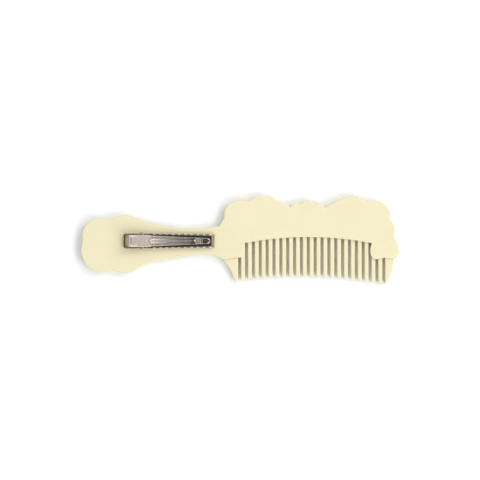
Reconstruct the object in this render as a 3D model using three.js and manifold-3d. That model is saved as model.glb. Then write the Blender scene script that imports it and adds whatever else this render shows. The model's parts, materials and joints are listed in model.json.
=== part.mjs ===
import * as THREE from 'three';
import { mergeVertices } from 'three/addons/utils/BufferGeometryUtils.js';
import Module from 'manifold-3d';

// A comb-shaped ornament of two glued acetate sheets with a sprung steel clip on its back.
// Millimetres. The ornament lies on its front face at z = 0, teeth towards -Y, back face up.

const wasm = await Module();
wasm.setup();

// Sheets
const COMB_THICK = 3.0;
const BACK_THICK = 1.0;
const EDGE_CHAMFER = 0.2;
const SPAN_STEPS = 3;

// Teeth
const SLOT_COUNT = 22;
const SLOT_WIDTH = 1.1;
const FIRST_SLOT_X = -0.28;
const LAST_SLOT_X = 55.81;
const ROOT_ARC = { radius: 131.4, x: 26.4, top: 1.11 };
const ROOT_UNDERCUT = 0.6;
const LEFT_ROOT = { before: 1.2, top: -6.6 };
const RIGHT_ROOT = { after: 51.4, top: -6.8 };
const TIP_ARC = { radius: 183, x: 23.2, top: -14.27 };
const TIP_ROUNDING = 0.38;
const SLOT_END_STEPS = 6;
const TIP_CORNER_STEPS = 3;

// Glue between the back sheet and the clip
const GLUE_THICK = 0.25;
const GLUE_INSET = 0.35;

// Clip base, a tray of sheet steel; heights are above its underside
const STEEL = 0.45;
const CLIP_Y = -0.42;
const CLIP_TAIL_X = -45.4;
const CLIP_LENGTH = 35;
const BASE_TAIL_WIDTH = 5.8;
const BASE_NOSE_WIDTH = 5.2;
const BASE_TAPER_X = -34;
const TAIL_CORNER = 0.8;
const TAIL_LIP = 1.0;
const NOSE_LIP = 1.5;
const NOSE_RAMP = 1.6;
const WINDOW_LENGTH = 2.6;
const WINDOW_MARGIN = 0.2;
const JAW_HEIGHT = 2.3;
const JAW_NOSE_HEIGHT = 1.8;
const NOTCH_COUNT = 9;
const NOTCH_PITCH = 2.42;
const NOTCH_WIDTH = 1.3;
const NOTCH_DEPTH = 0.5;
const FIRST_NOTCH_X = -33.0;

// Pivot
const PIVOT_X = -38.3;
const PIVOT_RISE = 2.6;
const EAR_RADIUS = 1.35;
const EAR_SLOPE = 1.0;
const PIN_RADIUS = 0.6;
const PIN_HEAD_RADIUS = 0.75;
const PIN_HEAD_LENGTH = 0.4;
const PIN_FIT = 0.03;
const LEVER_FIT = 0.08;
const ROUND_STEPS = 24;

// Lever; heights of its upper face are above the underside of the base
const LEVER_SIDE_GAP = 0.12;
const LEVER_TAIL = [-43.65, PIVOT_RISE + 2.95];
const LEVER_BEND = [-34.9, PIVOT_RISE + 1.08];
const LEVER_KNEE = [-18.0, 1.6];
const LEVER_TIP = [-11.6, 1.2];
const PRONG_ROOT_WIDTH = 4.3;
const PRONG_KNEE_WIDTH = 2.9;
const PRONG_TIP_WIDTH = 2.4;
const FLANGE_RADIUS = 1.15;
const SKIRT_DEPTH = 0.9;
const SKIRT_END_X = -21;
const SKIRT_FADE = 2;
const FLANGE_FADE = 1.2;

// Torsion spring wound round the pin
const WIRE_RADIUS = 0.22;
const COIL_RADIUS = PIN_RADIUS + 0.15 + WIRE_RADIUS;
const COIL_TURNS = 4;
const COIL_PITCH = 0.56;
const TURN_STEPS = 14;
const WIRE_SIDES = 6;
const LEG_END_X = -41.2;
const LEG_GAP = 0.06;

// Blanks and cutters for the clip reach this far, past every part of it
const PAST_ALL = 12;

// Levels and places that follow from the sizes above
const BACK_TOP = COMB_THICK + BACK_THICK;
const BASE_BOTTOM = BACK_TOP + GLUE_THICK;
const PIVOT_Z = BASE_BOTTOM + PIVOT_RISE;
const CLIP_NOSE_X = CLIP_TAIL_X + CLIP_LENGTH;
const LEVER_WIDTH = BASE_TAIL_WIDTH - 2 * STEEL - 2 * LEVER_SIDE_GAP;
const SLOT_PITCH = (LAST_SLOT_X - FIRST_SLOT_X) / (SLOT_COUNT - 1);
const TOOTH_WIDTH = SLOT_PITCH - SLOT_WIDTH;
const TIP_CORNER = TIP_ROUNDING * TOOTH_WIDTH;

// Scalloped outline, one list per smooth stretch between two cusps, clockwise from the neck
const HEAD = [
  [[-8.3, 5.5], [-6.3, 8.5]],
  [[-6.3, 8.5], [-6.2, 11.3], [-4.4, 14.1], [-0.4, 15.6], [3.5, 15.3]],
  [[3.5, 15.3], [5.8, 16.7], [9.0, 17.15], [13.0, 16.2], [19.4, 12.8]],
  [[19.4, 12.8], [20.4, 13.8], [21.7, 14.4], [23.2, 14.05]],
  [[23.2, 14.05], [24.6, 15.0], [26.1, 15.5], [27.6, 15.05], [28.8, 14.15]],
  [[28.8, 14.15], [30.3, 14.4], [31.9, 13.85], [33.0, 12.8]],
  [[33.0, 12.8], [38.5, 15.7], [43.6, 17.0], [46.6, 16.4], [49.0, 15.0]],
  [[49.0, 15.0], [52.3, 15.25], [55.6, 14.4], [57.8, 12.4], [58.5, 10.2], [58.3, 8.3]],
  [[58.3, 8.3], [59.7, 6.6], [60.5, 4.0], [60.1, 0.9]],
  [[60.1, 0.9], [61.3, -0.5], [61.6, -2.4]],
  [[61.6, -2.4], [62.2, -4.7], [61.5, -6.4], [60.0, -7.4]],
];
const LAST_TOOTH = [
  [60.0, -7.4], [59.6, -9.7], [59.1, -12.3], [58.2, -14.7], [57.4, -16.3], [56.75, -17.1],
];
const LAST_WALL_END_Y = -16.5;
const FIRST_WALL_END_Y = -15.7;
const FIRST_TOOTH = [
  [-1.0, -15.95], [-1.5, -16.1], [-2.15, -15.7], [-2.5, -14.9], [-3.75, -11.8], [-5.0, -9.9], [-6.6, -7.7],
];
const NECK = [[-6.6, -7.7], [-8.8, -6.6], [-11.2, -5.7], [-15.1, -5.6]];
const HANDLE = [
  [[-15.1, -5.6], [-20.2, -6.2], [-25.3, -7.0], [-30.5, -7.9], [-35.5, -9.0], [-40.0, -11.4],
    [-42.3, -12.5], [-44.9, -12.9], [-47.4, -12.5], [-49.8, -11.8]],
  [[-49.8, -11.8], [-53.6, -12.7], [-56.2, -12.4], [-58.4, -11.2], [-60.2, -9.4], [-61.4, -7.1],
    [-62.1, -4.0], [-61.45, -0.9]],
  [[-61.45, -0.9], [-61.5, 1.7], [-61.1, 4.3], [-59.6, 6.3], [-57.6, 8.0], [-55.1, 8.55], [-51.0, 7.9]],
  [[-51.0, 7.9], [-47.7, 9.2], [-45.1, 9.4], [-42.5, 9.2], [-37.7, 7.5], [-35.2, 6.7], [-30.2, 5.8],
    [-25.1, 4.8], [-19.8, 4.25], [-14.8, 4.5], [-8.3, 5.5]],
];
// Lower edge of the back sheet on either side of the arc over the tooth roots
const BACK_EDGE_RIGHT = [
  [[60.0, -7.4], [57.6, -7.1], [55.8, -7.0], [53.2, -7.5], [51.7, -7.2]],
  [[51.7, -7.2], [50.9, -6.0], [50.55, -4.4], [50.75, -2.7], [51.1, -1.25]],
];
const BACK_EDGE_LEFT = [[1.4, -6.3], [0.9, -6.9], [-2.0, -6.9], [-6.6, -7.7]];
const BACK_ARC_STEPS = 20;

const vec = ([x, y]) => new THREE.Vector2(x, y);

function smooth(points) {
  const steps = points.length > 2 ? SPAN_STEPS * (points.length - 1) : 1;
  return new THREE.SplineCurve(points.map(vec)).getPoints(steps);
}

function arc(x, y, radius, from, to, steps) {
  return new THREE.EllipseCurve(x, y, radius, radius, from, to, to < from).getPoints(steps);
}

function joined(runs) {
  const points = runs.flat();
  return points.filter((p, i) => p.distanceTo(points[(i + 1) % points.length]) > 1e-4);
}

const onArc = ({ radius, x, top }, at) => top - radius + Math.sqrt(radius ** 2 - (at - x) ** 2);
const slotX = (i) => FIRST_SLOT_X + i * SLOT_PITCH;

function slotTop(x) {
  if (x < LEFT_ROOT.before) return LEFT_ROOT.top;
  if (x > RIGHT_ROOT.after) return RIGHT_ROOT.top;
  return onArc(ROOT_ARC, x) + ROOT_UNDERCUT;
}

function slotEnd(i) {
  const radius = SLOT_WIDTH / 2;
  return arc(slotX(i), slotTop(slotX(i)) - radius, radius, 0, Math.PI, SLOT_END_STEPS);
}

// Rounded end of the tooth to the left of slot i
function toothTip(i) {
  const x = slotX(i) - SLOT_PITCH / 2;
  const y = onArc(TIP_ARC, x) + TIP_CORNER;
  const reach = TOOTH_WIDTH / 2 - TIP_CORNER;
  return [
    ...arc(x + reach, y, TIP_CORNER, 0, -Math.PI / 2, TIP_CORNER_STEPS),
    ...arc(x - reach, y, TIP_CORNER, -Math.PI / 2, -Math.PI, TIP_CORNER_STEPS),
  ];
}

function toothRow() {
  const lastWall = slotX(SLOT_COUNT - 1) + SLOT_WIDTH / 2;
  const firstWall = slotX(0) - SLOT_WIDTH / 2;
  const points = [vec([lastWall, LAST_WALL_END_Y])];
  for (let i = SLOT_COUNT - 1; i > 0; i -= 1) {
    points.push(...slotEnd(i), ...toothTip(i));
  }
  points.push(...slotEnd(0), vec([firstWall, FIRST_WALL_END_Y]));
  return points;
}

function sheet(outline, bottom, thickness) {
  const geometry = new THREE.ExtrudeGeometry(new THREE.Shape(outline), {
    depth: thickness - 2 * EDGE_CHAMFER,
    bevelThickness: EDGE_CHAMFER,
    bevelSize: EDGE_CHAMFER,
    bevelOffset: -EDGE_CHAMFER,
    bevelSegments: 1,
  });
  return geometry.translate(0, 0, bottom + EDGE_CHAMFER);
}

function combSheet() {
  const runs = [...HEAD.map(smooth), smooth(LAST_TOOTH), toothRow(), smooth(FIRST_TOOTH)];
  const outline = joined([...runs, smooth(NECK), ...HANDLE.map(smooth)]);
  return sheet(outline, 0, COMB_THICK);
}

function rootEdge() {
  const from = BACK_EDGE_RIGHT[1].at(-1)[0] - 0.5;
  const to = BACK_EDGE_LEFT[0][0] + 0.1;
  const points = [];
  for (let i = 0; i <= BACK_ARC_STEPS; i += 1) {
    const x = from + ((to - from) * i) / BACK_ARC_STEPS;
    points.push(vec([x, onArc(ROOT_ARC, x)]));
  }
  return points;
}

function backSheet() {
  const lower = [...BACK_EDGE_RIGHT.map(smooth), rootEdge(), smooth(BACK_EDGE_LEFT)];
  const outline = joined([...HEAD.map(smooth), ...lower, smooth(NECK), ...HANDLE.map(smooth)]);
  return sheet(outline, COMB_THICK, BACK_THICK);
}

function toManifold(geometry) {
  const bare = geometry.clone();
  bare.deleteAttribute('normal');
  bare.deleteAttribute('uv');
  const merged = mergeVertices(bare, 1e-5);
  return new wasm.Manifold(new wasm.Mesh({
    numProp: 3,
    vertProperties: merged.attributes.position.array,
    triVerts: merged.index.array,
  }));
}

function fromManifold(solid) {
  const mesh = solid.getMesh();
  const geometry = new THREE.BufferGeometry();
  geometry.setAttribute('position', new THREE.BufferAttribute(mesh.vertProperties, 3));
  geometry.setIndex(new THREE.BufferAttribute(mesh.triVerts, 1));
  geometry.computeVertexNormals();
  return geometry;
}

// Solid with the given plan, from one height to another
function planSolid(points, from, to) {
  const shape = new THREE.Shape(points);
  const geometry = new THREE.ExtrudeGeometry(shape, { depth: to - from, bevelEnabled: false });
  return toManifold(geometry.translate(0, 0, BASE_BOTTOM + from));
}

// Solid with the given side view (x, height above the base's underside), centred on the clip
function sideSolid(points, width) {
  const shape = new THREE.Shape(points);
  const geometry = new THREE.ExtrudeGeometry(shape, { depth: width, bevelEnabled: false });
  geometry.rotateX(Math.PI / 2);
  return toManifold(geometry.translate(0, CLIP_Y + width / 2, BASE_BOTTOM));
}

function pivotBore(radius) {
  return sideSolid(arc(PIVOT_X, PIVOT_RISE, radius, 0, 2 * Math.PI, ROUND_STEPS).slice(1), PAST_ALL);
}

// Plan of the base drawn in by the given margin
function basePlan(margin) {
  const tail = CLIP_TAIL_X + margin;
  const nose = CLIP_NOSE_X - margin;
  const wide = BASE_TAIL_WIDTH / 2 - margin;
  const narrow = BASE_NOSE_WIDTH / 2 - margin;
  const corner = Math.max(TAIL_CORNER - margin, 0.1);
  return [
    vec([nose, CLIP_Y - narrow]),
    vec([nose, CLIP_Y + narrow]),
    vec([BASE_TAPER_X, CLIP_Y + wide]),
    ...arc(tail + corner, CLIP_Y + wide - corner, corner, Math.PI / 2, Math.PI, 3),
    ...arc(tail + corner, CLIP_Y - wide + corner, corner, Math.PI, 1.5 * Math.PI, 3),
    vec([BASE_TAPER_X, CLIP_Y - wide]),
  ];
}

function jawHeight(x) {
  const along = (x - FIRST_NOTCH_X) / (CLIP_NOSE_X - NOSE_RAMP - FIRST_NOTCH_X);
  return JAW_HEIGHT + along * (JAW_NOSE_HEIGHT - JAW_HEIGHT);
}

function notch(i) {
  const x = FIRST_NOTCH_X + i * NOTCH_PITCH;
  const left = x - NOTCH_WIDTH / 2;
  const right = x + NOTCH_WIDTH / 2;
  return [
    vec([left, jawHeight(left)]),
    vec([x, jawHeight(x) - NOTCH_DEPTH]),
    vec([right, jawHeight(right)]),
  ];
}

// Side view of the base's walls: tail lip, ear, notched jaw, nose lip
function wallProfile() {
  const ear = arc(PIVOT_X, PIVOT_RISE, EAR_RADIUS, Math.PI - 0.3, 0.3, 8);
  const notches = Array.from({ length: NOTCH_COUNT }, (_, i) => notch(i));
  return [
    vec([CLIP_TAIL_X, 0]),
    vec([CLIP_TAIL_X, TAIL_LIP]),
    vec([PIVOT_X - EAR_RADIUS - EAR_SLOPE, TAIL_LIP]),
    ...ear,
    vec([PIVOT_X + EAR_RADIUS + EAR_SLOPE, JAW_HEIGHT]),
    ...notches.flat(),
    vec([CLIP_NOSE_X - NOSE_RAMP, JAW_NOSE_HEIGHT]),
    vec([CLIP_NOSE_X - STEEL, NOSE_LIP]),
    vec([CLIP_NOSE_X, NOSE_LIP]),
    vec([CLIP_NOSE_X, 0]),
  ];
}

function tailWindow() {
  const from = CLIP_TAIL_X + STEEL + WINDOW_MARGIN;
  const to = from + WINDOW_LENGTH;
  const half = BASE_TAIL_WIDTH / 2 - STEEL - WINDOW_MARGIN;
  const corners = [[from, -half], [to, -half], [to, half], [from, half]];
  return planSolid(corners.map(([x, y]) => vec([x, CLIP_Y + y])), -STEEL, 2 * STEEL);
}

function basePlate() {
  const walls = planSolid(basePlan(0), 0, PAST_ALL).intersect(sideSolid(wallProfile(), PAST_ALL));
  const hollow = planSolid(basePlan(STEEL), STEEL, PAST_ALL);
  const tray = walls.subtract(hollow).subtract(tailWindow());
  return fromManifold(tray.subtract(pivotBore(PIN_RADIUS + PIN_FIT)));
}

// Plan of the lever drawn in by the given margin: square tail, tapering prong, round tip
function leverPlan(margin) {
  const tail = LEVER_WIDTH / 2 - margin;
  const root = PRONG_ROOT_WIDTH / 2 - margin;
  const knee = PRONG_KNEE_WIDTH / 2 - margin;
  const tip = PRONG_TIP_WIDTH / 2 - margin;
  const upper = [
    [LEVER_TAIL[0] + margin, tail],
    [LEVER_BEND[0] - 0.4, tail],
    [LEVER_BEND[0], root],
    [LEVER_KNEE[0], knee],
  ].map(([x, y]) => vec([x, y]));
  const nose = arc(LEVER_TIP[0] - margin - tip, 0, tip, Math.PI / 2, -Math.PI / 2, 8);
  const lower = upper.map((p) => vec([p.x, -p.y])).reverse();
  return [...upper, ...nose, ...lower].map((p) => vec([p.x, p.y + CLIP_Y])).reverse();
}

const drop = ([x, z], by) => vec([x, z - by]);
const between = ([x0, z0], [x1, z1], x) => [x, z0 + ((z1 - z0) * (x - x0)) / (x1 - x0)];

// Side view of the lever with its flanges and skirts filled in
function leverSilhouette() {
  const skirt = STEEL + SKIRT_DEPTH;
  const skirtEnd = between(LEVER_BEND, LEVER_KNEE, SKIRT_END_X - SKIRT_FADE);
  const skirtStop = between(LEVER_BEND, LEVER_KNEE, SKIRT_END_X);
  const tailEnd = between(LEVER_TAIL, LEVER_BEND, PIVOT_X - FLANGE_RADIUS - FLANGE_FADE);
  const flange = arc(PIVOT_X, PIVOT_RISE, FLANGE_RADIUS, 0, -Math.PI, 8);
  return [
    ...[LEVER_TAIL, LEVER_BEND, LEVER_KNEE, LEVER_TIP].map(vec),
    ...[LEVER_TIP, LEVER_KNEE, skirtStop].map((p) => drop(p, STEEL)),
    drop(skirtEnd, skirt),
    drop(LEVER_BEND, skirt),
    ...flange,
    drop(tailEnd, STEEL),
    drop(LEVER_TAIL, STEEL),
  ].reverse();
}

// Side view of the room under the lever's plate
function leverHollow() {
  const line = [LEVER_TAIL, LEVER_BEND, LEVER_KNEE, LEVER_TIP];
  const upper = line.map((p) => drop(p, STEEL));
  return [vec([LEVER_TAIL[0], -STEEL]), vec([LEVER_TIP[0], -STEEL]), ...upper.reverse()];
}

function lever() {
  const body = planSolid(leverPlan(0), 0, PAST_ALL).intersect(sideSolid(leverSilhouette(), PAST_ALL));
  const inner = planSolid(leverPlan(STEEL), -PAST_ALL, PAST_ALL);
  const hollow = inner.intersect(sideSolid(leverHollow(), PAST_ALL));
  return fromManifold(body.subtract(hollow).subtract(pivotBore(PIN_RADIUS + LEVER_FIT)));
}

function pivotPin() {
  const half = BASE_TAIL_WIDTH / 2;
  const profile = [
    [0, -half - PIN_HEAD_LENGTH],
    [PIN_HEAD_RADIUS, -half - PIN_HEAD_LENGTH],
    [PIN_HEAD_RADIUS, -half],
    [PIN_RADIUS, -half],
    [PIN_RADIUS, half],
    [PIN_HEAD_RADIUS, half],
    [PIN_HEAD_RADIUS, half + PIN_HEAD_LENGTH],
    [0, half + PIN_HEAD_LENGTH],
  ];
  return new THREE.LatheGeometry(profile.map(vec), ROUND_STEPS).translate(PIVOT_X, CLIP_Y, PIVOT_Z);
}

// Where a straight leg that ends at (x, z) from the pivot leaves the coil; side +1 above, -1 below
function tangentAngle(x, z, side) {
  const away = Math.atan2(z, x);
  return away - side * Math.acos(COIL_RADIUS / Math.hypot(x, z));
}

function torsionSpring() {
  const x = LEG_END_X - PIVOT_X;
  const low = STEEL + WIRE_RADIUS + LEG_GAP - PIVOT_RISE;
  const tailUnderside = between(LEVER_TAIL, LEVER_BEND, LEG_END_X)[1] - STEEL;
  const high = tailUnderside - WIRE_RADIUS - 2 * LEG_GAP - PIVOT_RISE;
  const from = tangentAngle(x, low, -1);
  const to = tangentAngle(x, high, 1) + 2 * Math.PI * COIL_TURNS;
  const width = (COIL_PITCH * (to - from)) / (2 * Math.PI);
  const centre = new THREE.Vector3(PIVOT_X, CLIP_Y, PIVOT_Z);
  const place = (dx, along, dz) => new THREE.Vector3(dx, (along - 0.5) * width, dz).add(centre);
  const points = [place(x, 0, low)];
  const steps = Math.round(((to - from) / (2 * Math.PI)) * TURN_STEPS);
  for (let i = 0; i <= steps; i += 1) {
    const angle = from + ((to - from) * i) / steps;
    points.push(place(COIL_RADIUS * Math.cos(angle), i / steps, COIL_RADIUS * Math.sin(angle)));
  }
  points.push(place(x, 1, high));
  const wire = new THREE.Shape(arc(0, 0, WIRE_RADIUS, 0, 2 * Math.PI, WIRE_SIDES).slice(1));
  const path = new THREE.CatmullRomCurve3(points, false, 'centripetal');
  return new THREE.ExtrudeGeometry(wire, { steps: 2 * points.length, extrudePath: path });
}

function gluePad() {
  return fromManifold(planSolid(basePlan(GLUE_INSET), -GLUE_THICK, 0));
}

function part(name, geometry, colour, roughness, metalness) {
  const material = new THREE.MeshStandardMaterial({ color: colour, roughness, metalness });
  const mesh = new THREE.Mesh(geometry, material);
  mesh.name = name;
  return mesh;
}

const group = new THREE.Group();
group.name = 'comb_hair_clip';
group.add(part('comb_sheet', combSheet(), 0xf4ecc6, 0.25, 0));
group.add(part('back_sheet', backSheet(), 0xf5edc6, 0.25, 0));
group.add(part('clip_adhesive', gluePad(), 0xe8e2c8, 0.3, 0));
group.add(part('base_plate', basePlate(), 0xa9a29c, 0.35, 1));
group.add(part('lever', lever(), 0xb4ada7, 0.35, 1));
group.add(part('pivot_pin', pivotPin(), 0xb0a9a2, 0.3, 1));
group.add(part('torsion_spring', torsionSpring(), 0x9a9590, 0.3, 1));

// The frame's origin is under the middle of the whole piece
const centre = new THREE.Box3().setFromObject(group).getCenter(new THREE.Vector3());
group.children.forEach((mesh) => mesh.geometry.translate(-centre.x, -centre.y, 0));

export default group;
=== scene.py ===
"""Looks for the comb-shaped acetate hair ornament with a sprung steel clip on its back.

Shapes are worked out in millimetres in the CAD frame: teeth towards -Y, back face and clip up.
"""

import json
import math

import bmesh
import bpy
import numpy as np
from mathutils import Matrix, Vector
from mathutils.kdtree import KDTree


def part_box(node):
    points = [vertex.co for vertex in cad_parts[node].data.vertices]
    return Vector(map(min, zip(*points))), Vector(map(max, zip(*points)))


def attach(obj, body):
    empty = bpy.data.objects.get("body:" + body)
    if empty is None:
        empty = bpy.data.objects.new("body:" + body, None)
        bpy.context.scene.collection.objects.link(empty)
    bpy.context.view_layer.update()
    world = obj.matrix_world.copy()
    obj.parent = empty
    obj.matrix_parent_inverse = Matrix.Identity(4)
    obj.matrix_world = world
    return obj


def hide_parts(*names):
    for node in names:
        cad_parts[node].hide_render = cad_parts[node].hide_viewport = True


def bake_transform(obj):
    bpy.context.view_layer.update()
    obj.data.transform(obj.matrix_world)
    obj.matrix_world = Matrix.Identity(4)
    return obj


MM = 0.001

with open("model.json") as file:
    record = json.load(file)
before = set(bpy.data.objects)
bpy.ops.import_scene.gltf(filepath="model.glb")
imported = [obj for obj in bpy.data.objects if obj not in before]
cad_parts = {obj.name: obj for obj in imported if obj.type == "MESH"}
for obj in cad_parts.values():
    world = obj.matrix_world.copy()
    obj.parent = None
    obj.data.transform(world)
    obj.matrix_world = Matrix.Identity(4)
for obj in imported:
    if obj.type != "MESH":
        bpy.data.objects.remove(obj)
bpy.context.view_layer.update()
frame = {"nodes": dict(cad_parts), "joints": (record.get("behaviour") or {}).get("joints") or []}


def box_mm(node):
    low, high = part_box(node)
    return np.array(low) / MM, np.array(high) / MM


# ---------------------------------------------------------------- camera and light

VIEW_WIDTH = 186.7
CAMERA_HEIGHT = 2500.0
VIEW_CENTRE = (-0.15, -0.06)
SHEET_TOP = 4.0
SENSOR = 36.0
# soft boxes, in metres
BOX_SIZE = 0.9
BOX_RIGHT, BOX_ASIDE, BOX_UP = 0.95, 0.7, 1.15
BOX_COLOUR = (1.0, 0.99, 0.975)


def make_camera():
    data = bpy.data.cameras.new("camera")
    data.sensor_width = SENSOR
    data.lens = SENSOR * (CAMERA_HEIGHT - SHEET_TOP) / VIEW_WIDTH
    camera = bpy.data.objects.new("camera", data)
    camera.location = Vector((*VIEW_CENTRE, CAMERA_HEIGHT)) * MM
    bpy.context.scene.collection.objects.link(camera)
    bpy.context.scene.camera = camera


def make_light(name, energy, place):
    data = bpy.data.lights.new(name, "AREA")
    data.shape = "RECTANGLE"
    data.size = data.size_y = BOX_SIZE
    data.energy = energy
    data.color = BOX_COLOUR
    light = bpy.data.objects.new(name, data)
    light.location = place
    light.rotation_euler = (-Vector(place)).to_track_quat("-Z", "Y").to_euler()
    bpy.context.scene.collection.objects.link(light)


def make_lights():
    """Two soft boxes to the right, one each side, so that the lever's sloping tail mirrors neither."""
    make_light("soft_box_right_back", 8.8, (BOX_RIGHT, BOX_ASIDE, BOX_UP))
    make_light("soft_box_right_front", 9.6, (BOX_RIGHT, -BOX_ASIDE, BOX_UP))


make_camera()
make_lights()

# ---------------------------------------------------------------- material helpers


def linear(hex_colour):
    channels = [int(hex_colour[i:i + 2], 16) / 255 for i in (1, 3, 5)]
    return (*[c / 12.92 if c <= 0.04045 else ((c + 0.055) / 1.055) ** 2.4 for c in channels], 1.0)


def cells(size_mm):
    """Scale that makes one cell of a pattern the given size."""
    return 1 / (size_mm * MM)


def add(tree, kind, inputs=None, stops=()):
    """Adds a node, gives each named socket a value or another node's output, and sets a ramp's stops."""
    node = tree.nodes.new(kind)
    while stops and len(node.color_ramp.elements) < len(stops):
        node.color_ramp.elements.new(1.0)
    for i, (place, colour) in enumerate(stops):
        node.color_ramp.elements[i].position = place
        node.color_ramp.elements[i].color = colour
    for name, value in (inputs or {}).items():
        if isinstance(value, bpy.types.NodeSocket):
            tree.links.new(value, node.inputs[name])
        else:
            node.inputs[name].default_value = value
    return node


def new_material(name):
    material = bpy.data.materials.new(name)
    material.use_nodes = True
    material.node_tree.nodes.clear()
    return material, material.node_tree


def finish_material(tree, shader):
    output = add(tree, "ShaderNodeOutputMaterial")
    tree.links.new(shader.outputs[0], output.inputs["Surface"])


# ---------------------------------------------------------------- materials


def polished_acetate(name, light, deep):
    """Cream cellulose acetate, tumbled to a soft gloss: faint clouding, and light sinks in a little."""
    material, tree = new_material(name)
    place = add(tree, "ShaderNodeTexCoord").outputs["Object"]
    cloud = add(tree, "ShaderNodeTexNoise", {"Vector": place, "Scale": cells(9.1), "Detail": 3.0})
    stops = ((0.0, linear(deep)), (1.0, linear(light)))
    tint = add(tree, "ShaderNodeValToRGB", {"Fac": cloud.outputs["Fac"]}, stops)
    gloss = add(tree, "ShaderNodeMapRange", {"Value": cloud.outputs["Fac"], "To Min": 0.28, "To Max": 0.38})
    ripple = add(tree, "ShaderNodeTexNoise", {"Vector": place, "Scale": cells(3.85), "Detail": 2.0})
    relief = {"Height": ripple.outputs["Fac"], "Strength": 0.06, "Distance": 0.4 * MM}
    bumps = add(tree, "ShaderNodeBump", relief)
    shader = add(tree, "ShaderNodeBsdfPrincipled", {
        "Base Color": tint.outputs["Color"],
        "Roughness": gloss.outputs["Result"],
        "IOR": 1.48,
        "Subsurface Weight": 0.12,
        "Subsurface Radius": (1.0, 0.8, 0.45),
        "Subsurface Scale": 1.5 * MM,
        "Normal": bumps.outputs["Normal"],
    })
    finish_material(tree, shader)
    return material


GRAIN_LENGTH, GRAIN_WIDTH = 4.17, 0.1786


def plated_steel(name, light, dark, smooth, rough, grain):
    """Plated steel: fine drawing grain along its length, worn a little duller in patches."""
    material, tree = new_material(name)
    place = add(tree, "ShaderNodeTexCoord").outputs["Object"]
    stretch = (cells(GRAIN_LENGTH), cells(GRAIN_WIDTH), cells(GRAIN_WIDTH))
    along = add(tree, "ShaderNodeMapping", {"Vector": place, "Scale": stretch})
    lines = add(tree, "ShaderNodeTexNoise", {"Vector": along.outputs["Vector"], "Scale": 1.0, "Detail": 4.0})
    patch = add(tree, "ShaderNodeTexNoise", {"Vector": place, "Scale": cells(1.43), "Detail": 3.0})
    stops = ((0.0, linear(dark)), (1.0, linear(light)))
    tint = add(tree, "ShaderNodeValToRGB", {"Fac": patch.outputs["Fac"]}, stops)
    spread = {"Value": patch.outputs["Fac"], "To Min": smooth, "To Max": rough}
    gloss = add(tree, "ShaderNodeMapRange", spread)
    relief = {"Height": lines.outputs["Fac"], "Strength": grain, "Distance": 0.05 * MM}
    bumps = add(tree, "ShaderNodeBump", relief)
    shader = add(tree, "ShaderNodeBsdfPrincipled", {
        "Base Color": tint.outputs["Color"],
        "Metallic": 1.0,
        "Roughness": gloss.outputs["Result"],
        "Normal": bumps.outputs["Normal"],
    })
    finish_material(tree, shader)
    return material


def glue_with_painted_shade():
    """Clear adhesive squeezed thin and set: glassy, with small bubbles, tinted dark amber as painted shade
    for the plastic seen through the tray's tail window.
    """
    material, tree = new_material("glue_amber_painted_shade")
    place = add(tree, "ShaderNodeTexCoord").outputs["Object"]
    bubbles = add(tree, "ShaderNodeTexNoise", {"Vector": place, "Scale": cells(0.667), "Detail": 2.0})
    # dark amber stops: painted shade, standing in for shaded plastic under the tail window
    stops = ((0.0, linear("#b9a468")), (1.0, linear("#cdbb84")))
    tint = add(tree, "ShaderNodeValToRGB", {"Fac": bubbles.outputs["Fac"]}, stops)
    gloss = add(tree, "ShaderNodeMapRange", {"Value": bubbles.outputs["Fac"], "To Min": 0.15, "To Max": 0.3})
    relief = {"Height": bubbles.outputs["Fac"], "Strength": 0.2, "Distance": 0.1 * MM}
    bumps = add(tree, "ShaderNodeBump", relief)
    shader = add(tree, "ShaderNodeBsdfPrincipled", {
        "Base Color": tint.outputs["Color"],
        "Roughness": gloss.outputs["Result"],
        "IOR": 1.5,
        "Subsurface Weight": 0.3,
        "Subsurface Radius": (1.0, 0.8, 0.5),
        "Subsurface Scale": 1.0 * MM,
        "Normal": bumps.outputs["Normal"],
    })
    finish_material(tree, shader)
    return material


def white_paper():
    """Seamless white paper sweep under the object."""
    material, tree = new_material("white_paper_sweep")
    place = add(tree, "ShaderNodeTexCoord").outputs["Object"]
    fibre = add(tree, "ShaderNodeTexNoise", {"Vector": place, "Scale": cells(1.11)})
    stops = ((0.0, linear("#f8f8fb")), (1.0, linear("#fcfcfe")))
    tint = add(tree, "ShaderNodeValToRGB", {"Fac": fibre.outputs["Fac"]}, stops)
    shader = add(tree, "ShaderNodeBsdfPrincipled", {
        "Base Color": tint.outputs["Color"],
        "Roughness": 0.9,
        "Specular IOR Level": 0.1,
    })
    finish_material(tree, shader)
    return material


# ---------------------------------------------------------------- mesh helpers


def mesh_piece(name, points_mm, faces, material):
    mesh = bpy.data.meshes.new(name)
    mesh.from_pydata([tuple(p) for p in np.asarray(points_mm) * MM], [], faces)
    mesh.validate()
    tidy = bmesh.new()
    tidy.from_mesh(mesh)
    bmesh.ops.recalc_face_normals(tidy, faces=tidy.faces)
    tidy.to_mesh(mesh)
    tidy.free()
    mesh.polygons.foreach_set("use_smooth", [True] * len(mesh.polygons))
    mesh.materials.append(material)
    piece = bpy.data.objects.new(name, mesh)
    bpy.context.scene.collection.objects.link(piece)
    return piece


def settle(piece, node, body):
    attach(piece, body)
    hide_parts(node)
    return piece


def smoothstep(x):
    t = np.clip(x, 0.0, 1.0)
    return t * t * (3 - 2 * t)


def bump(distance, half):
    """Rounded ridge of height one at distance zero, gone at the given half width."""
    return 0.5 + 0.5 * math.cos(math.pi * min(abs(distance) / half, 1.0))


# ---------------------------------------------------------------- outlines from the CAD sheets


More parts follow.
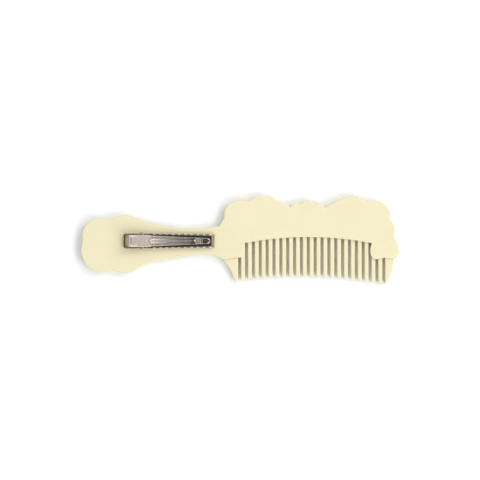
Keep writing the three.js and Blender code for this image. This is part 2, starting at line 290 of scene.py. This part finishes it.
def cad_ring(node, level):
    """The loop of a CAD sheet's outer wall at the given height, anticlockwise."""
    mesh = frame["nodes"][node].data
    key = [tuple(round(c / MM, 3) for c in v.co) for v in mesh.vertices]
    near = {}
    for edge in mesh.edges:
        a, b = (key[i] for i in edge.vertices)
        if a != b and abs(a[2] - level) < 0.01 and abs(b[2] - level) < 0.01:
            near.setdefault(a[:2], set()).add(b[:2])
            near.setdefault(b[:2], set()).add(a[:2])
    start = min(near)
    ring, previous, here = [start], None, start
    while True:
        onward = [p for p in near[here] if p != previous]
        previous, here = here, onward[0]
        if here == start:
            break
        ring.append(here)
    ring = np.array(ring)
    following = np.roll(ring, -1, axis=0)
    area = np.sum(ring[:, 0] * following[:, 1] - ring[:, 1] * following[:, 0])
    return ring if area > 0 else ring[::-1]


def turning(ring):
    """Signed turn of the outline at each point, in radians."""
    before = ring - np.roll(ring, 1, axis=0)
    after = np.roll(ring, -1, axis=0) - ring
    cross = before[:, 0] * after[:, 1] - before[:, 1] * after[:, 0]
    return np.arctan2(cross, np.sum(before * after, axis=1))


CUSP_TURN = math.radians(18)
LONGEST_CURVED_EDGE = 3.0


def refined(ring, step):
    """The ring with points added along smooth curves; cusps stay sharp and long straight edges straight."""
    turn = turning(ring)
    beside = np.maximum(np.abs(np.roll(turn, 1)), np.abs(np.roll(turn, -1)))
    cusp = (np.abs(turn) > CUSP_TURN) & (np.abs(turn) > 1.8 * beside)
    count = len(ring)
    points = []
    for i in range(count):
        p1, p2 = ring[i], ring[(i + 1) % count]
        length = np.linalg.norm(p2 - p1)
        steps = max(1, int(math.ceil(length / step)))
        if length > LONGEST_CURVED_EDGE:
            points += list(np.linspace(p1, p2, steps, endpoint=False))
            continue
        p0 = 2 * p1 - p2 if cusp[i] else ring[i - 1]
        p3 = 2 * p2 - p1 if cusp[(i + 1) % count] else ring[(i + 2) % count]
        t = np.cumsum([0.0] + [np.linalg.norm(b - a) ** 0.5 for a, b in ((p0, p1), (p1, p2), (p2, p3))])
        for s in np.linspace(t[1], t[2], steps, endpoint=False):
            a1 = ((t[1] - s) * p0 + (s - t[0]) * p1) / (t[1] - t[0])
            a2 = ((t[2] - s) * p1 + (s - t[1]) * p2) / (t[2] - t[1])
            a3 = ((t[3] - s) * p2 + (s - t[2]) * p3) / (t[3] - t[2])
            b1 = ((t[2] - s) * a1 + (s - t[0]) * a2) / (t[2] - t[0])
            b2 = ((t[3] - s) * a2 + (s - t[1]) * a3) / (t[3] - t[1])
            points.append(((t[2] - s) * b1 + (s - t[1]) * b2) / (t[2] - t[1]))
    return np.array(points)


def inward(ring):
    """Direction into the sheet at each point, longer at corners so that an inner ring keeps its distance."""
    before = ring - np.roll(ring, 1, axis=0)
    after = np.roll(ring, -1, axis=0) - ring
    before /= np.linalg.norm(before, axis=1)[:, None]
    after /= np.linalg.norm(after, axis=1)[:, None]
    middle = before + after
    middle /= np.linalg.norm(middle, axis=1)[:, None]
    share = np.clip(np.sum(middle * before, axis=1), 0.6, 1.0)
    return np.stack([-middle[:, 1], middle[:, 0]], axis=1) / share[:, None]


def roundings(ring, wanted):
    """Edge radius at each point: the wanted one, or less where a ball that size would not fit inside."""
    wanted = np.broadcast_to(wanted, len(ring))
    near = KDTree(len(ring))
    for i, (x, y) in enumerate(ring):
        near.insert((x, y, 0.0), i)
    near.balance()
    way = inward(ring)
    way /= np.linalg.norm(way, axis=1)[:, None]
    radius = np.array(wanted)
    for i, (x, y) in enumerate(ring):
        for place, _, distance in near.find_range((x, y, 0.0), 2 * float(wanted[i])):
            depth = way[i, 0] * (place.x - x) + way[i, 1] * (place.y - y)
            if depth > 1e-4:
                radius[i] = min(radius[i], 0.85 * distance ** 2 / (2 * depth))
    for _ in range(3):
        radius = np.minimum(radius, (np.roll(radius, 1) + radius + np.roll(radius, -1)) / 3)
    return radius


EDGE_STEPS = 5
FLAT_RIM = 0.05


def sheet_piece(name, ring, bottom, top, bottom_round, top_round, material):
    """A flat sheet of the given outline with rounded edges; the radii may differ from point to point."""
    pull = inward(ring)
    low, high = roundings(ring, bottom_round), roundings(ring, top_round)
    levels = [(low + FLAT_RIM, np.full(len(ring), bottom))]
    for k in range(EDGE_STEPS + 1):
        a = math.pi / 2 * (1 - k / EDGE_STEPS)
        levels.append((low * (1 - math.cos(a)), bottom + low * (1 - math.sin(a))))
    for k in range(EDGE_STEPS + 1):
        a = math.pi / 2 * k / EDGE_STEPS
        levels.append((high * (1 - math.cos(a)), top - high * (1 - math.sin(a))))
    levels.append((high + FLAT_RIM, np.full(len(ring), top)))
    count = len(ring)
    points = [np.column_stack([ring + pull * inset[:, None], z]) for inset, z in levels]
    faces = [list(range(count))[::-1]]
    for level in range(len(levels) - 1):
        a, b = level * count, (level + 1) * count
        faces += [(a + i, a + (i + 1) % count, b + (i + 1) % count, b + i) for i in range(count)]
    faces.append([(len(levels) - 1) * count + i for i in range(count)])
    return mesh_piece(name, np.concatenate(points), faces, material)


# ---------------------------------------------------------------- the two acetate sheets

OUTLINE_STEP = 0.25
CAD_CHAMFER = 0.2
POLISHED_EDGE = 0.5
TOOTH_EDGE = 0.32
GLUED_EDGE = 0.08
CRISP_EDGE = 0.12
ROOTS_LOW, ROOTS_HIGH = (-6.5, -8.0), (59.7, 2.0)


def make_sheets():
    comb_low, comb_high = box_mm("comb_sheet")
    back_low, back_high = box_mm("back_sheet")
    comb_ring = refined(cad_ring("comb_sheet", comb_low[2] + CAD_CHAMFER), OUTLINE_STEP)
    back_ring = refined(cad_ring("back_sheet", back_low[2] + CAD_CHAMFER), OUTLINE_STEP)
    gap = np.array([np.min(np.hypot(*(back_ring - p).T)) for p in comb_ring])
    covered = smoothstep(gap / 0.8)
    top_round = GLUED_EDGE + (TOOTH_EDGE - GLUED_EDGE) * covered
    bottom_round = POLISHED_EDGE + (TOOTH_EDGE - POLISHED_EDGE) * covered
    front = polished_acetate("cream_acetate_front_sheet", "#eae2bf", "#e6ddb8")
    back = polished_acetate("cream_acetate_back_sheet", "#eae2bf", "#e6ddb8")
    levels = (comb_low[2], comb_high[2])
    comb = sheet_piece("comb_front_sheet", comb_ring, *levels, bottom_round, top_round, front)
    x, y = back_ring.T
    over_teeth = (x > ROOTS_LOW[0]) & (x < ROOTS_HIGH[0]) & (y > ROOTS_LOW[1]) & (y < ROOTS_HIGH[1])
    rim = np.where(over_teeth, CRISP_EDGE, POLISHED_EDGE)
    ornate = sheet_piece("ornate_back_sheet", back_ring, back_low[2], back_high[2], GLUED_EDGE, rim, back)
    settle(comb, "comb_sheet", "ornament")
    settle(ornate, "back_sheet", "ornament")


# ---------------------------------------------------------------- clip base

STEEL = 0.45
CLIP_LOW, CLIP_HIGH = box_mm("base_plate")
CLIP_Y = (CLIP_LOW[1] + CLIP_HIGH[1]) / 2
CLIP_BOTTOM = CLIP_LOW[2]
PIVOT = np.array(frame["joints"][0]["pos_m"]) / MM
PIVOT_RISE = PIVOT[2] - CLIP_BOTTOM
TAIL_WIDTH = CLIP_HIGH[1] - CLIP_LOW[1]
NOSE_WIDTH = 5.2
TAPER_FROM = 4.3
TAIL_CORNER = 0.8
BEND_OUTSIDE = 0.5
BEND_INSIDE = 0.15
RIM_ROUND = 0.12
NOSE_RIM_EXTRA, NOSE_RIM_SLANT = 0.22, 0.2
FLOOR_FROM = 0.62
TAIL_LIP, NOSE_LIP = 1.0, 1.5
EAR_RADIUS, EAR_SLOPE = 1.35, 1.0
JAW_HEIGHT, JAW_NOSE_HEIGHT, NOSE_RAMP = 2.3, 1.8, 1.6
NOTCH_COUNT, NOTCH_PITCH, NOTCH_DEPTH, NOTCH_LEFT, NOTCH_RIGHT = 9, 2.42, 0.34, 0.8, 0.5
FIRST_NOTCH = 5.3
WINDOW_FROM, WINDOW_LENGTH, WINDOW_CORNER = 0.65, 2.6, 0.3


def wall_height(x):
    """Height of the base's wall at a distance x along the clip."""
    ear = x - PIVOT[0]
    foot = EAR_RADIUS + EAR_SLOPE
    shoulder = EAR_RADIUS * math.cos(0.3)
    shoulder_rise = PIVOT_RISE + EAR_RADIUS * math.sin(0.3)
    if abs(ear) <= shoulder:
        return PIVOT_RISE + math.sqrt(EAR_RADIUS ** 2 - ear ** 2)
    if ear < 0:
        share = smoothstep((ear + foot) / (foot - shoulder))
        return TAIL_LIP + share * (shoulder_rise - TAIL_LIP)
    if ear < foot:
        share = smoothstep((foot - ear) / (foot - shoulder))
        return JAW_HEIGHT + share * (shoulder_rise - JAW_HEIGHT)
    ramp_from = CLIP_HIGH[0] - NOSE_RAMP
    if x > ramp_from:
        share = min((x - ramp_from) / (NOSE_RAMP - STEEL), 1.0)
        return JAW_NOSE_HEIGHT + share * (NOSE_LIP - JAW_NOSE_HEIGHT)
    first = PIVOT[0] + FIRST_NOTCH
    along = (x - first) / (ramp_from - first)
    height = JAW_HEIGHT + max(along, 0.0) * (JAW_NOSE_HEIGHT - JAW_HEIGHT)
    nearest = round((x - first) / NOTCH_PITCH)
    nearest = min(max(nearest, 0), NOTCH_COUNT - 1)
    off = x - first - nearest * NOTCH_PITCH
    run = NOTCH_LEFT if off < 0 else NOTCH_RIGHT
    return height - NOTCH_DEPTH * max(0.0, 1 - abs(off) / run)


def tray_ring():
    """Plan outline of the base, anticlockwise from the nose's lower corner."""
    nose, tail = CLIP_HIGH[0], CLIP_LOW[0]
    wide, narrow = TAIL_WIDTH / 2, NOSE_WIDTH / 2
    taper = PIVOT[0] + TAPER_FROM

    def half_width(x):
        return wide if x < taper else wide + (narrow - wide) * (x - taper) / (nose - taper)

    side = np.linspace(nose, tail + TAIL_CORNER, 340)
    ring = [(nose, y) for y in np.linspace(-narrow, narrow, 12, endpoint=False)]
    ring += [(x, half_width(x)) for x in side[:-1]]
    for start, sign in ((math.pi / 2, 1), (math.pi, -1)):
        centre = (tail + TAIL_CORNER, sign * (wide - TAIL_CORNER))
        for a in np.linspace(start, start + math.pi / 2, 7):
            ring.append((centre[0] + TAIL_CORNER * math.cos(a), centre[1] + TAIL_CORNER * math.sin(a)))
    ring += [(x, -half_width(x)) for x in side[::-1][1:-1]]
    return np.array(ring) + (0.0, CLIP_Y)


def wall_section(height, at_nose):
    """Section of the tray's wall as (distance in from outside, height); the nose rim is wider and slants."""
    thick = STEEL + NOSE_RIM_EXTRA * at_nose
    inner_height = height - NOSE_RIM_SLANT * at_nose
    section = [(FLOOR_FROM, 0.0)]
    for a in np.linspace(math.pi / 2, 0, 6):
        section.append((BEND_OUTSIDE * (1 - math.cos(a)), BEND_OUTSIDE * (1 - math.sin(a))))
    for a in np.linspace(0, math.pi / 2, 4):
        section.append((RIM_ROUND * (1 - math.cos(a)), height - RIM_ROUND * (1 - math.sin(a))))
    for a in np.linspace(math.pi / 2, 0, 4):
        section.append((thick - RIM_ROUND * (1 - math.cos(a)), inner_height - RIM_ROUND * (1 - math.sin(a))))
    for a in np.linspace(0, math.pi / 2, 4):
        rise = STEEL + BEND_INSIDE * (1 - math.sin(a))
        section.append((thick + BEND_INSIDE * (1 - math.cos(a)), rise))
    section.append((thick + BEND_INSIDE + 0.02, STEEL))
    return section


def window_ring():
    tail = CLIP_LOW[0] + WINDOW_FROM
    half = TAIL_WIDTH / 2 - WINDOW_FROM
    ring = []
    front = tail + WINDOW_LENGTH
    corners = ((front, -half, -1), (front, half, 0), (tail, half, 1), (tail, -half, 2))
    for x, y, quarter in corners:
        middle = quarter * math.pi / 2 + math.pi / 4
        cx = x - math.copysign(WINDOW_CORNER, math.cos(middle))
        cy = y - math.copysign(WINDOW_CORNER, math.sin(middle))
        for a in np.linspace(quarter * math.pi / 2, (quarter + 1) * math.pi / 2, 5):
            ring.append((cx + WINDOW_CORNER * math.cos(a), CLIP_Y + cy + WINDOW_CORNER * math.sin(a)))
    return np.array(ring)


def make_base(steel):
    ring = tray_ring()
    pull = inward(ring)
    pull /= np.maximum(np.linalg.norm(pull, axis=1)[:, None] / 1.4143, 1.0)
    sections = [wall_section(wall_height(x), float(x > CLIP_HIGH[0] - 0.01)) for x, _ in ring]
    solid = bmesh.new()
    rows = []
    for place, way, section in zip(ring, pull, sections):
        rows.append([
            solid.verts.new((*(place + way * inset), CLIP_BOTTOM + height)) for inset, height in section
        ])
    for row, following in zip(rows, rows[1:] + rows[:1]):
        for k in range(len(row) - 1):
            solid.faces.new((row[k], following[k], following[k + 1], row[k + 1]))
    window = window_ring()
    lower = [solid.verts.new((x, y, CLIP_BOTTOM)) for x, y in window]
    upper = [solid.verts.new((x, y, CLIP_BOTTOM + STEEL)) for x, y in window]
    for i in range(len(window)):
        j = (i + 1) % len(window)
        solid.faces.new((lower[i], lower[j], upper[j], upper[i]))
    for hole, edge in ((lower, 0), (upper, -1)):
        loops = [hole, [row[edge] for row in rows]]
        edges = []
        for loop in loops:
            for a, b in zip(loop, loop[1:] + loop[:1]):
                edges.append(solid.edges.get((a, b)) or solid.edges.new((a, b)))
        bmesh.ops.triangle_fill(solid, edges=edges, use_beauty=True)
    solid.verts.index_update()
    points = [v.co[:] for v in solid.verts]
    faces = [[v.index for v in f.verts] for f in solid.faces]
    solid.free()
    piece = mesh_piece("clip_base_tray", points, faces, steel)
    settle(piece, "base_plate", "ornament")


# ---------------------------------------------------------------- clip lever

LEVER_LOW, LEVER_HIGH = box_mm("lever")
LEVER_TAIL_X, LEVER_TIP_X = LEVER_LOW[0], LEVER_HIGH[0]
LEVER_HALF = (LEVER_HIGH[1] - LEVER_LOW[1]) / 2
LEVER_TAIL_RISE = LEVER_HIGH[2] - CLIP_BOTTOM
BEND_X = PIVOT[0] + 3.4
BEND_RISE = PIVOT_RISE + 1.08
KNEE_X = PIVOT[0] + 20.3
ROOT_SLOPE, KNEE_SLOPE, TIP_SLOPE = 0.17, 0.078, 0.062
ROOT_HALF, KNEE_HALF, TIP_HALF = 2.15, 1.45, 1.2
LEVER_STEEL = 0.38
LEVER_FOLD = 0.3
TAIL_CURL = 0.3
TIP_CURL = 0.45
FLANGE_RADIUS = 1.15
SKIRT = 1.35
SKIRT_END = PIVOT[0] + 17.3
PANEL_FROM, PANEL_TO, PANEL_HALF, PANEL_LINE = 1.05, 5.0, 1.75, 0.3
DIMPLE_FROM, DIMPLE_TO, DIMPLE_HALF = 1.2, 3.1, 0.6
RIDGE_OFF, RIDGE_HALF = 0.6, 0.26
RIB_PITCH, RIB_HALF = 0.785, 0.22
DOT_X, DOT_OFF = PIVOT[0] + 20.5, 0.15
LEVER_HEM = 0.28
PANEL_CORNER = 0.6
# heights and depths of the pressed marks
PANEL_DEPTH, DIMPLE_DEPTH, GROOVE_DEPTH, FLANK_DEPTH = 0.035, 0.035, 0.08, 0.02
RIDGE_TIP_HEIGHT, RIDGE_ROOT_HEIGHT, RIDGE_FADE = 0.012, 0.05, 9.0
RIB_HEIGHT, END_RIB_HEIGHT = 0.035, 0.06
DOT_HEIGHT, DOT_HALF = 0.14, 0.34
TIP_DROP = 0.34


def lever_rise(x):
    """Height of the lever's upper face over the base's underside: sloping tail, bend, easing prong."""
    along = np.clip((x - BEND_X) / (KNEE_X - BEND_X), 0, 1)
    prong = along * (KNEE_X - BEND_X)
    drop = ROOT_SLOPE * prong - (ROOT_SLOPE - KNEE_SLOPE) * prong * along / 2
    drop += TIP_SLOPE * max(x - KNEE_X, 0)
    tail_slope = (LEVER_TAIL_RISE - BEND_RISE) / (BEND_X - LEVER_TAIL_X)
    curl = max(TAIL_CURL - (x - LEVER_TAIL_X), 0) ** 2 / TAIL_CURL
    return BEND_RISE + tail_slope * max(BEND_X - x, 0) - drop - curl


def lever_half(x):
    corner = 0.5
    if x < LEVER_TAIL_X + corner:
        away = corner - (x - LEVER_TAIL_X)
        return LEVER_HALF - corner + math.sqrt(max(corner ** 2 - away ** 2, 0.0))
    if x < BEND_X:
        return LEVER_HALF + (ROOT_HALF - LEVER_HALF) * smoothstep((x - BEND_X + 0.5) / 0.5)
    if x < KNEE_X:
        return ROOT_HALF + (KNEE_HALF - ROOT_HALF) * (x - BEND_X) / (KNEE_X - BEND_X)
    centre = LEVER_TIP_X - TIP_HALF
    if x < centre:
        return KNEE_HALF + (TIP_HALF - KNEE_HALF) * (x - KNEE_X) / (centre - KNEE_X)
    return math.sqrt(max(TIP_HALF ** 2 - (x - centre) ** 2, 0.02))


def skirt_drop(x):
    """How far the lever's folded side hangs below its upper face."""
    rise = lever_rise(x)
    off = x - PIVOT[0]
    if off < -FLANGE_RADIUS - 1.2:
        return LEVER_HEM
    if off < -FLANGE_RADIUS:
        share = smoothstep((off + FLANGE_RADIUS + 1.2) / 1.2)
        return LEVER_HEM + share * (rise - PIVOT_RISE - LEVER_HEM)
    if off <= FLANGE_RADIUS:
        return rise - PIVOT_RISE + math.sqrt(FLANGE_RADIUS ** 2 - off ** 2)
    if x < BEND_X:
        share = (off - FLANGE_RADIUS) / (BEND_X - PIVOT[0] - FLANGE_RADIUS)
        return rise - (PIVOT_RISE + share * (BEND_RISE - SKIRT - PIVOT_RISE))
    return LEVER_HEM + (SKIRT - LEVER_HEM) * smoothstep((SKIRT_END - x) / 3.5)


def tail_pressing(x, y):
    """A fine line round the tail's finger panel and a teardrop dimple before the bend."""
    middle, reach = LEVER_TAIL_X + (PANEL_FROM + PANEL_TO) / 2, (PANEL_TO - PANEL_FROM) / 2
    beyond_x = abs(x - middle) - reach + PANEL_CORNER
    beyond_y = abs(y) - PANEL_HALF + PANEL_CORNER
    outside = math.hypot(max(beyond_x, 0), max(beyond_y, 0)) + min(max(beyond_x, beyond_y), 0) - PANEL_CORNER
    height = -PANEL_DEPTH * bump(outside, PANEL_LINE) * smoothstep((PIVOT[0] - 0.5 - x) / 1.5)
    round_end = x - PIVOT[0] - DIMPLE_TO + DIMPLE_HALF
    narrow = 1 + min(round_end, 0) / (DIMPLE_TO - DIMPLE_HALF - DIMPLE_FROM)
    if narrow > 0.05:
        height -= DIMPLE_DEPTH * narrow * bump(math.hypot(y / narrow, max(round_end, 0)), DIMPLE_HALF)
    return height


def prong_pressing(x, y, half):
    """Two long ridges beside a centre groove, cross ribs on the flanks, a dot, and ribs across the end."""
    rib = bump((x - BEND_X) % RIB_PITCH - RIB_PITCH / 2, RIB_HALF)
    taper = half / ROOT_HALF
    ridge_off = RIDGE_OFF * (0.4 + 0.6 * taper)
    q = abs(y) / half
    near_root = smoothstep((BEND_X + RIDGE_FADE - x) / RIDGE_FADE)
    ridge = RIDGE_TIP_HEIGHT + (RIDGE_ROOT_HEIGHT - RIDGE_TIP_HEIGHT) * near_root
    on_ridges = smoothstep((x - BEND_X) / 0.22) * smoothstep((KNEE_X - 0.4 - x) / 1.5)
    height = on_ridges * ridge * bump(abs(y) - ridge_off, RIDGE_HALF)
    height -= on_ridges * GROOVE_DEPTH * smoothstep((ridge_off - RIDGE_HALF - abs(y)) / 0.1)
    flank = smoothstep((abs(y) - ridge_off - RIDGE_HALF) / 0.1) * smoothstep((0.97 - q) / 0.1)
    height -= on_ridges * flank * (FLANK_DEPTH - RIB_HEIGHT * rib)
    across = smoothstep((x - KNEE_X - 0.1) / 0.3) * smoothstep((KNEE_X + 3.4 - x) / 0.5)
    height += across * END_RIB_HEIGHT * rib * smoothstep((0.97 - q) / 0.15)
    height += DOT_HEIGHT * bump(math.hypot(x - DOT_X, y - DOT_OFF), DOT_HALF)
    outward = math.hypot(max(x - LEVER_TIP_X + TIP_HALF, 0), y) - TIP_HALF + TIP_CURL
    if x > LEVER_TIP_X - TIP_HALF and outward > 0:
        height -= TIP_DROP * (outward / TIP_CURL) ** 2
    return height


def pressed(x, y, half):
    """Height that the press tool adds to the lever's upper face at (x, y from its centre line)."""
    return tail_pressing(x, y) if x < BEND_X else prong_pressing(x, y, half)


def lever_section(x):
    """Points across the lever at x, from the foot of one side over the top to the foot of the other."""
    half, rise, drop = lever_half(x), lever_rise(x), skirt_drop(x)
    fold = min(LEVER_FOLD, half * 0.6, drop * 0.95)
    across, steps = half - fold, 56
    left = [(-half, rise - drop + (drop - fold) * k / 5) for k in range(5)]
    for a in np.linspace(0, math.pi / 2, 6, endpoint=False):
        left.append((-across - fold * math.cos(a), rise - fold * (1 - math.sin(a))))
    top = [(y, rise + pressed(x, y, half)) for y in np.linspace(-across, across, steps)]
    right = [(-y, z) for y, z in reversed(left)]
    return left + top + right


def lever_stations():
    tail = LEVER_TAIL_X + 0.5 * (1 - np.cos(np.linspace(0, math.pi / 2, 8, endpoint=False)))
    body = np.arange(LEVER_TAIL_X + 0.5, LEVER_TIP_X - TIP_HALF, 0.08)
    tip = LEVER_TIP_X - TIP_HALF * (1 - np.sin(np.linspace(0, math.pi / 2 - 0.06, 14)))
    return np.concatenate([tail, body, tip])


def make_lever(steel):
    stations = lever_stations()
    sections = [lever_section(x) for x in stations]
    wide = len(sections[0])
    points = [(x, CLIP_Y + y, CLIP_BOTTOM + z) for x, section in zip(stations, sections) for y, z in section]
    faces = []
    for i in range(len(stations) - 1):
        a = i * wide
        faces += [(a + k, a + k + 1, a + wide + k + 1, a + wide + k) for k in range(wide - 1)]
    piece = mesh_piece("clip_lever", points, faces, steel)
    up = sum(p.normal.z for p in piece.data.polygons)
    if up < 0:
        piece.data.flip_normals()
    skin = piece.modifiers.new("steel_thickness", "SOLIDIFY")
    skin.thickness = LEVER_STEEL * MM
    skin.offset = -1.0
    settle(piece, "lever", "lever")


# ---------------------------------------------------------------- pin, spring, glue

PIN_RADIUS, PIN_HEAD, PIN_PROUD, PIN_ROUND = 0.6, 0.75, 0.4, 0.25
PIN_SIDES = 40


def make_pin(steel):
    """Plain pin with both ends upset into low domed heads outside the ears."""
    half = TAIL_WIDTH / 2
    head = [(PIN_RADIUS, half - 0.1), (PIN_HEAD, half)]
    end = half + PIN_PROUD
    for a in np.linspace(0, math.pi / 2, 6):
        head.append((PIN_HEAD - PIN_ROUND * (1 - math.cos(a)), end - PIN_ROUND * (1 - math.sin(a))))
    head += [(0.25, end), (0.12, end - 0.04), (0.0, end - 0.05)]
    profile = [(r, -y) for r, y in reversed(head)] + head
    points, faces = [], []
    for r, y in profile:
        for k in range(PIN_SIDES):
            a = 2 * math.pi * k / PIN_SIDES
            points.append((PIVOT[0] + r * math.cos(a), CLIP_Y + y, PIVOT[2] + r * math.sin(a)))
    for i in range(len(profile) - 1):
        a, b = i * PIN_SIDES, (i + 1) * PIN_SIDES
        for k in range(PIN_SIDES):
            following = (k + 1) % PIN_SIDES
            faces.append((a + k, a + following, b + following, b + k))
    piece = mesh_piece("pivot_pin_turned", points, faces, steel)
    merge = bmesh.new()
    merge.from_mesh(piece.data)
    bmesh.ops.remove_doubles(merge, verts=merge.verts, dist=1e-7)
    merge.to_mesh(piece.data)
    merge.free()
    settle(piece, "pivot_pin", "ornament")


WIRE = 0.22
COIL = 0.97
COIL_TURNS = 4
COIL_PITCH = 0.56
LEG = 2.9


def leg_angle(x, z, side):
    """Angle on the coil from which a straight leg runs to (x, z)."""
    return math.atan2(z, x) - side * math.acos(COIL / math.hypot(x, z))


def make_spring(steel):
    """Torsion spring: coils round the pin, one leg on the base's floor and one under the lever's tail."""
    low = STEEL + WIRE + 0.06 - PIVOT_RISE
    high = lever_rise(PIVOT[0] - LEG) - PIVOT_RISE - STEEL - WIRE - 0.12
    start = leg_angle(-LEG, low, -1)
    stop = leg_angle(-LEG, high, 1) + 2 * math.pi * COIL_TURNS
    width = COIL_PITCH * (stop - start) / (2 * math.pi)
    path = [(-LEG, -width / 2, low)]
    for a in np.linspace(start, stop, 40 * COIL_TURNS):
        share = (a - start) / (stop - start)
        path.append((COIL * math.cos(a), width * (share - 0.5), COIL * math.sin(a)))
    path.append((-LEG, width / 2, high))
    curve = bpy.data.curves.new("spring_path", "CURVE")
    curve.dimensions = "3D"
    curve.bevel_depth = WIRE * MM
    curve.bevel_resolution = 5
    curve.use_fill_caps = True
    line = curve.splines.new("POLY")
    line.points.add(len(path) - 1)
    for point, (x, y, z) in zip(line.points, path):
        point.co = (*(np.array((PIVOT[0] + x, CLIP_Y + y, PIVOT[2] + z)) * MM), 1.0)
    guide = bpy.data.objects.new("spring_path", curve)
    bpy.context.scene.collection.objects.link(guide)
    bpy.context.view_layer.update()
    mesh = bpy.data.meshes.new_from_object(guide.evaluated_get(bpy.context.evaluated_depsgraph_get()))
    bpy.data.objects.remove(guide)
    mesh.name = "torsion_spring_wire"
    mesh.materials.clear()
    mesh.materials.append(steel)
    mesh.polygons.foreach_set("use_smooth", [True] * len(mesh.polygons))
    piece = bpy.data.objects.new("torsion_spring_wire", mesh)
    bpy.context.scene.collection.objects.link(piece)
    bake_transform(piece)
    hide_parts("torsion_spring")


GLUE_AT_NOSE = 0.5


def make_glue():
    """Glue squeezed out a hair past the base, its edge slightly wavy."""
    low, high = box_mm("clip_adhesive")
    ring = tray_ring()[::3]
    pull = inward(ring)
    wave = 0.04 * np.sin(ring[:, 0] * 1.3) + 0.03 * np.sin(ring[:, 0] * 2.9 + ring[:, 1])
    ring = ring - pull * (0.05 + wave)[:, None]
    ring[:, 0] += GLUE_AT_NOSE * smoothstep((ring[:, 0] - CLIP_HIGH[0] + 0.6) / 0.6)
    # the glue material's dark amber tint is painted shade for the plastic under the tail window
    piece = sheet_piece("squeezed_glue_pad", ring, low[2], high[2], 0.02, 0.2, glue_with_painted_shade())
    settle(piece, "clip_adhesive", "ornament")


# ---------------------------------------------------------------- build


FLOOR_HALF = 3.0
FLOOR_DROP = 0.02 * MM


def make_floor():
    mesh = bpy.data.meshes.new("paper_floor")
    signs = ((-1, -1), (1, -1), (1, 1), (-1, 1))
    corners = [(FLOOR_HALF * x, FLOOR_HALF * y, -FLOOR_DROP) for x, y in signs]
    mesh.from_pydata(corners, [], [(0, 1, 2, 3)])
    mesh.materials.append(white_paper())
    floor = bpy.data.objects.new("paper_floor", mesh)
    bpy.context.scene.collection.objects.link(floor)


# (sine of the height above the horizon, brightness) round the room
ROOM_BRIGHTNESS = ((0.0, 0.4), (0.5, 0.55), (0.75, 0.85), (0.94, 0.92), (0.968, 0.03))


def make_world():
    """Pale room, dimmer towards the floor, with a dark patch straight above where the camera hangs."""
    world = bpy.data.worlds.new("tent")
    bpy.context.scene.world = world
    world.use_nodes = True
    tree = world.node_tree
    tree.nodes.clear()
    way = add(tree, "ShaderNodeTexCoord").outputs["Generated"]
    height = add(tree, "ShaderNodeSeparateXYZ", {"Vector": way}).outputs["Z"]
    stops = [(place, (0.95 * bright, 0.97 * bright, bright, 1.0)) for place, bright in ROOM_BRIGHTNESS]
    ramp = add(tree, "ShaderNodeValToRGB", {"Fac": height}, stops)
    sky = add(tree, "ShaderNodeBackground", {"Color": ramp.outputs["Color"], "Strength": 1.17})
    output = add(tree, "ShaderNodeOutputWorld")
    tree.links.new(sky.outputs["Background"], output.inputs["Surface"])


make_world()
make_floor()
make_sheets()
bright_steel = plated_steel("nickel_plated_steel_tray", "#bdb2a8", "#a89d93", 0.14, 0.24, 0.2)
satin_steel = plated_steel("satin_nickel_lever", "#c8bcb2", "#b8aca2", 0.15, 0.24, 0.2)
pin_steel = plated_steel("brass_washed_steel_pin", "#dca64a", "#c08a38", 0.2, 0.3, 0.1)
wire_steel = plated_steel("drawn_spring_wire", "#a8a29c", "#8f8984", 0.25, 0.35, 0.1)
make_base(bright_steel)
make_lever(satin_steel)
make_pin(pin_steel)
make_spring(wire_steel)
make_glue()

bpy.context.scene.view_settings.view_transform = "Standard"
